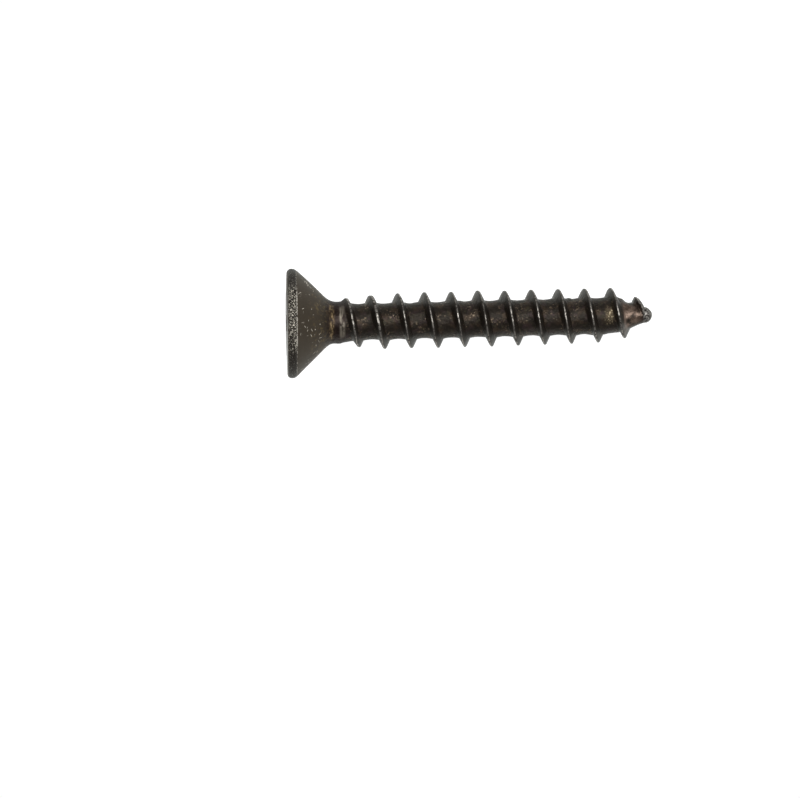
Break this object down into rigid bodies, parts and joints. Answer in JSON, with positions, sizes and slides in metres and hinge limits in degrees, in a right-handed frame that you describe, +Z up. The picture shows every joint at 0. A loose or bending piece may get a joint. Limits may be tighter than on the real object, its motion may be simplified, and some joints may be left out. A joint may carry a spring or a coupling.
{
  "type": "wood screw",
  "caption": "Countersunk wood screw in dark oxide-finished steel, with a cross recess, a plain neck, a coarse rolled thread and a tapered, blunt-nosed point.",
  "frame": {"origin": "centre of the flat head face, on the screw's axis", "axes": "+X along the axis from the head to the tip, +Z up, +Y completes the right-handed frame"},
  "size_m": [0.0247, 0.0074, 0.0074],
  "materials": {
    "oxide_steel": "dark brown-black oxide over rolled steel, semi-gloss, rubbed bright on thread crests, rim edge and nose"
  },
  "bodies": {
    "root": {"screw": "oxide_steel"}
  },
  "joints": []
}
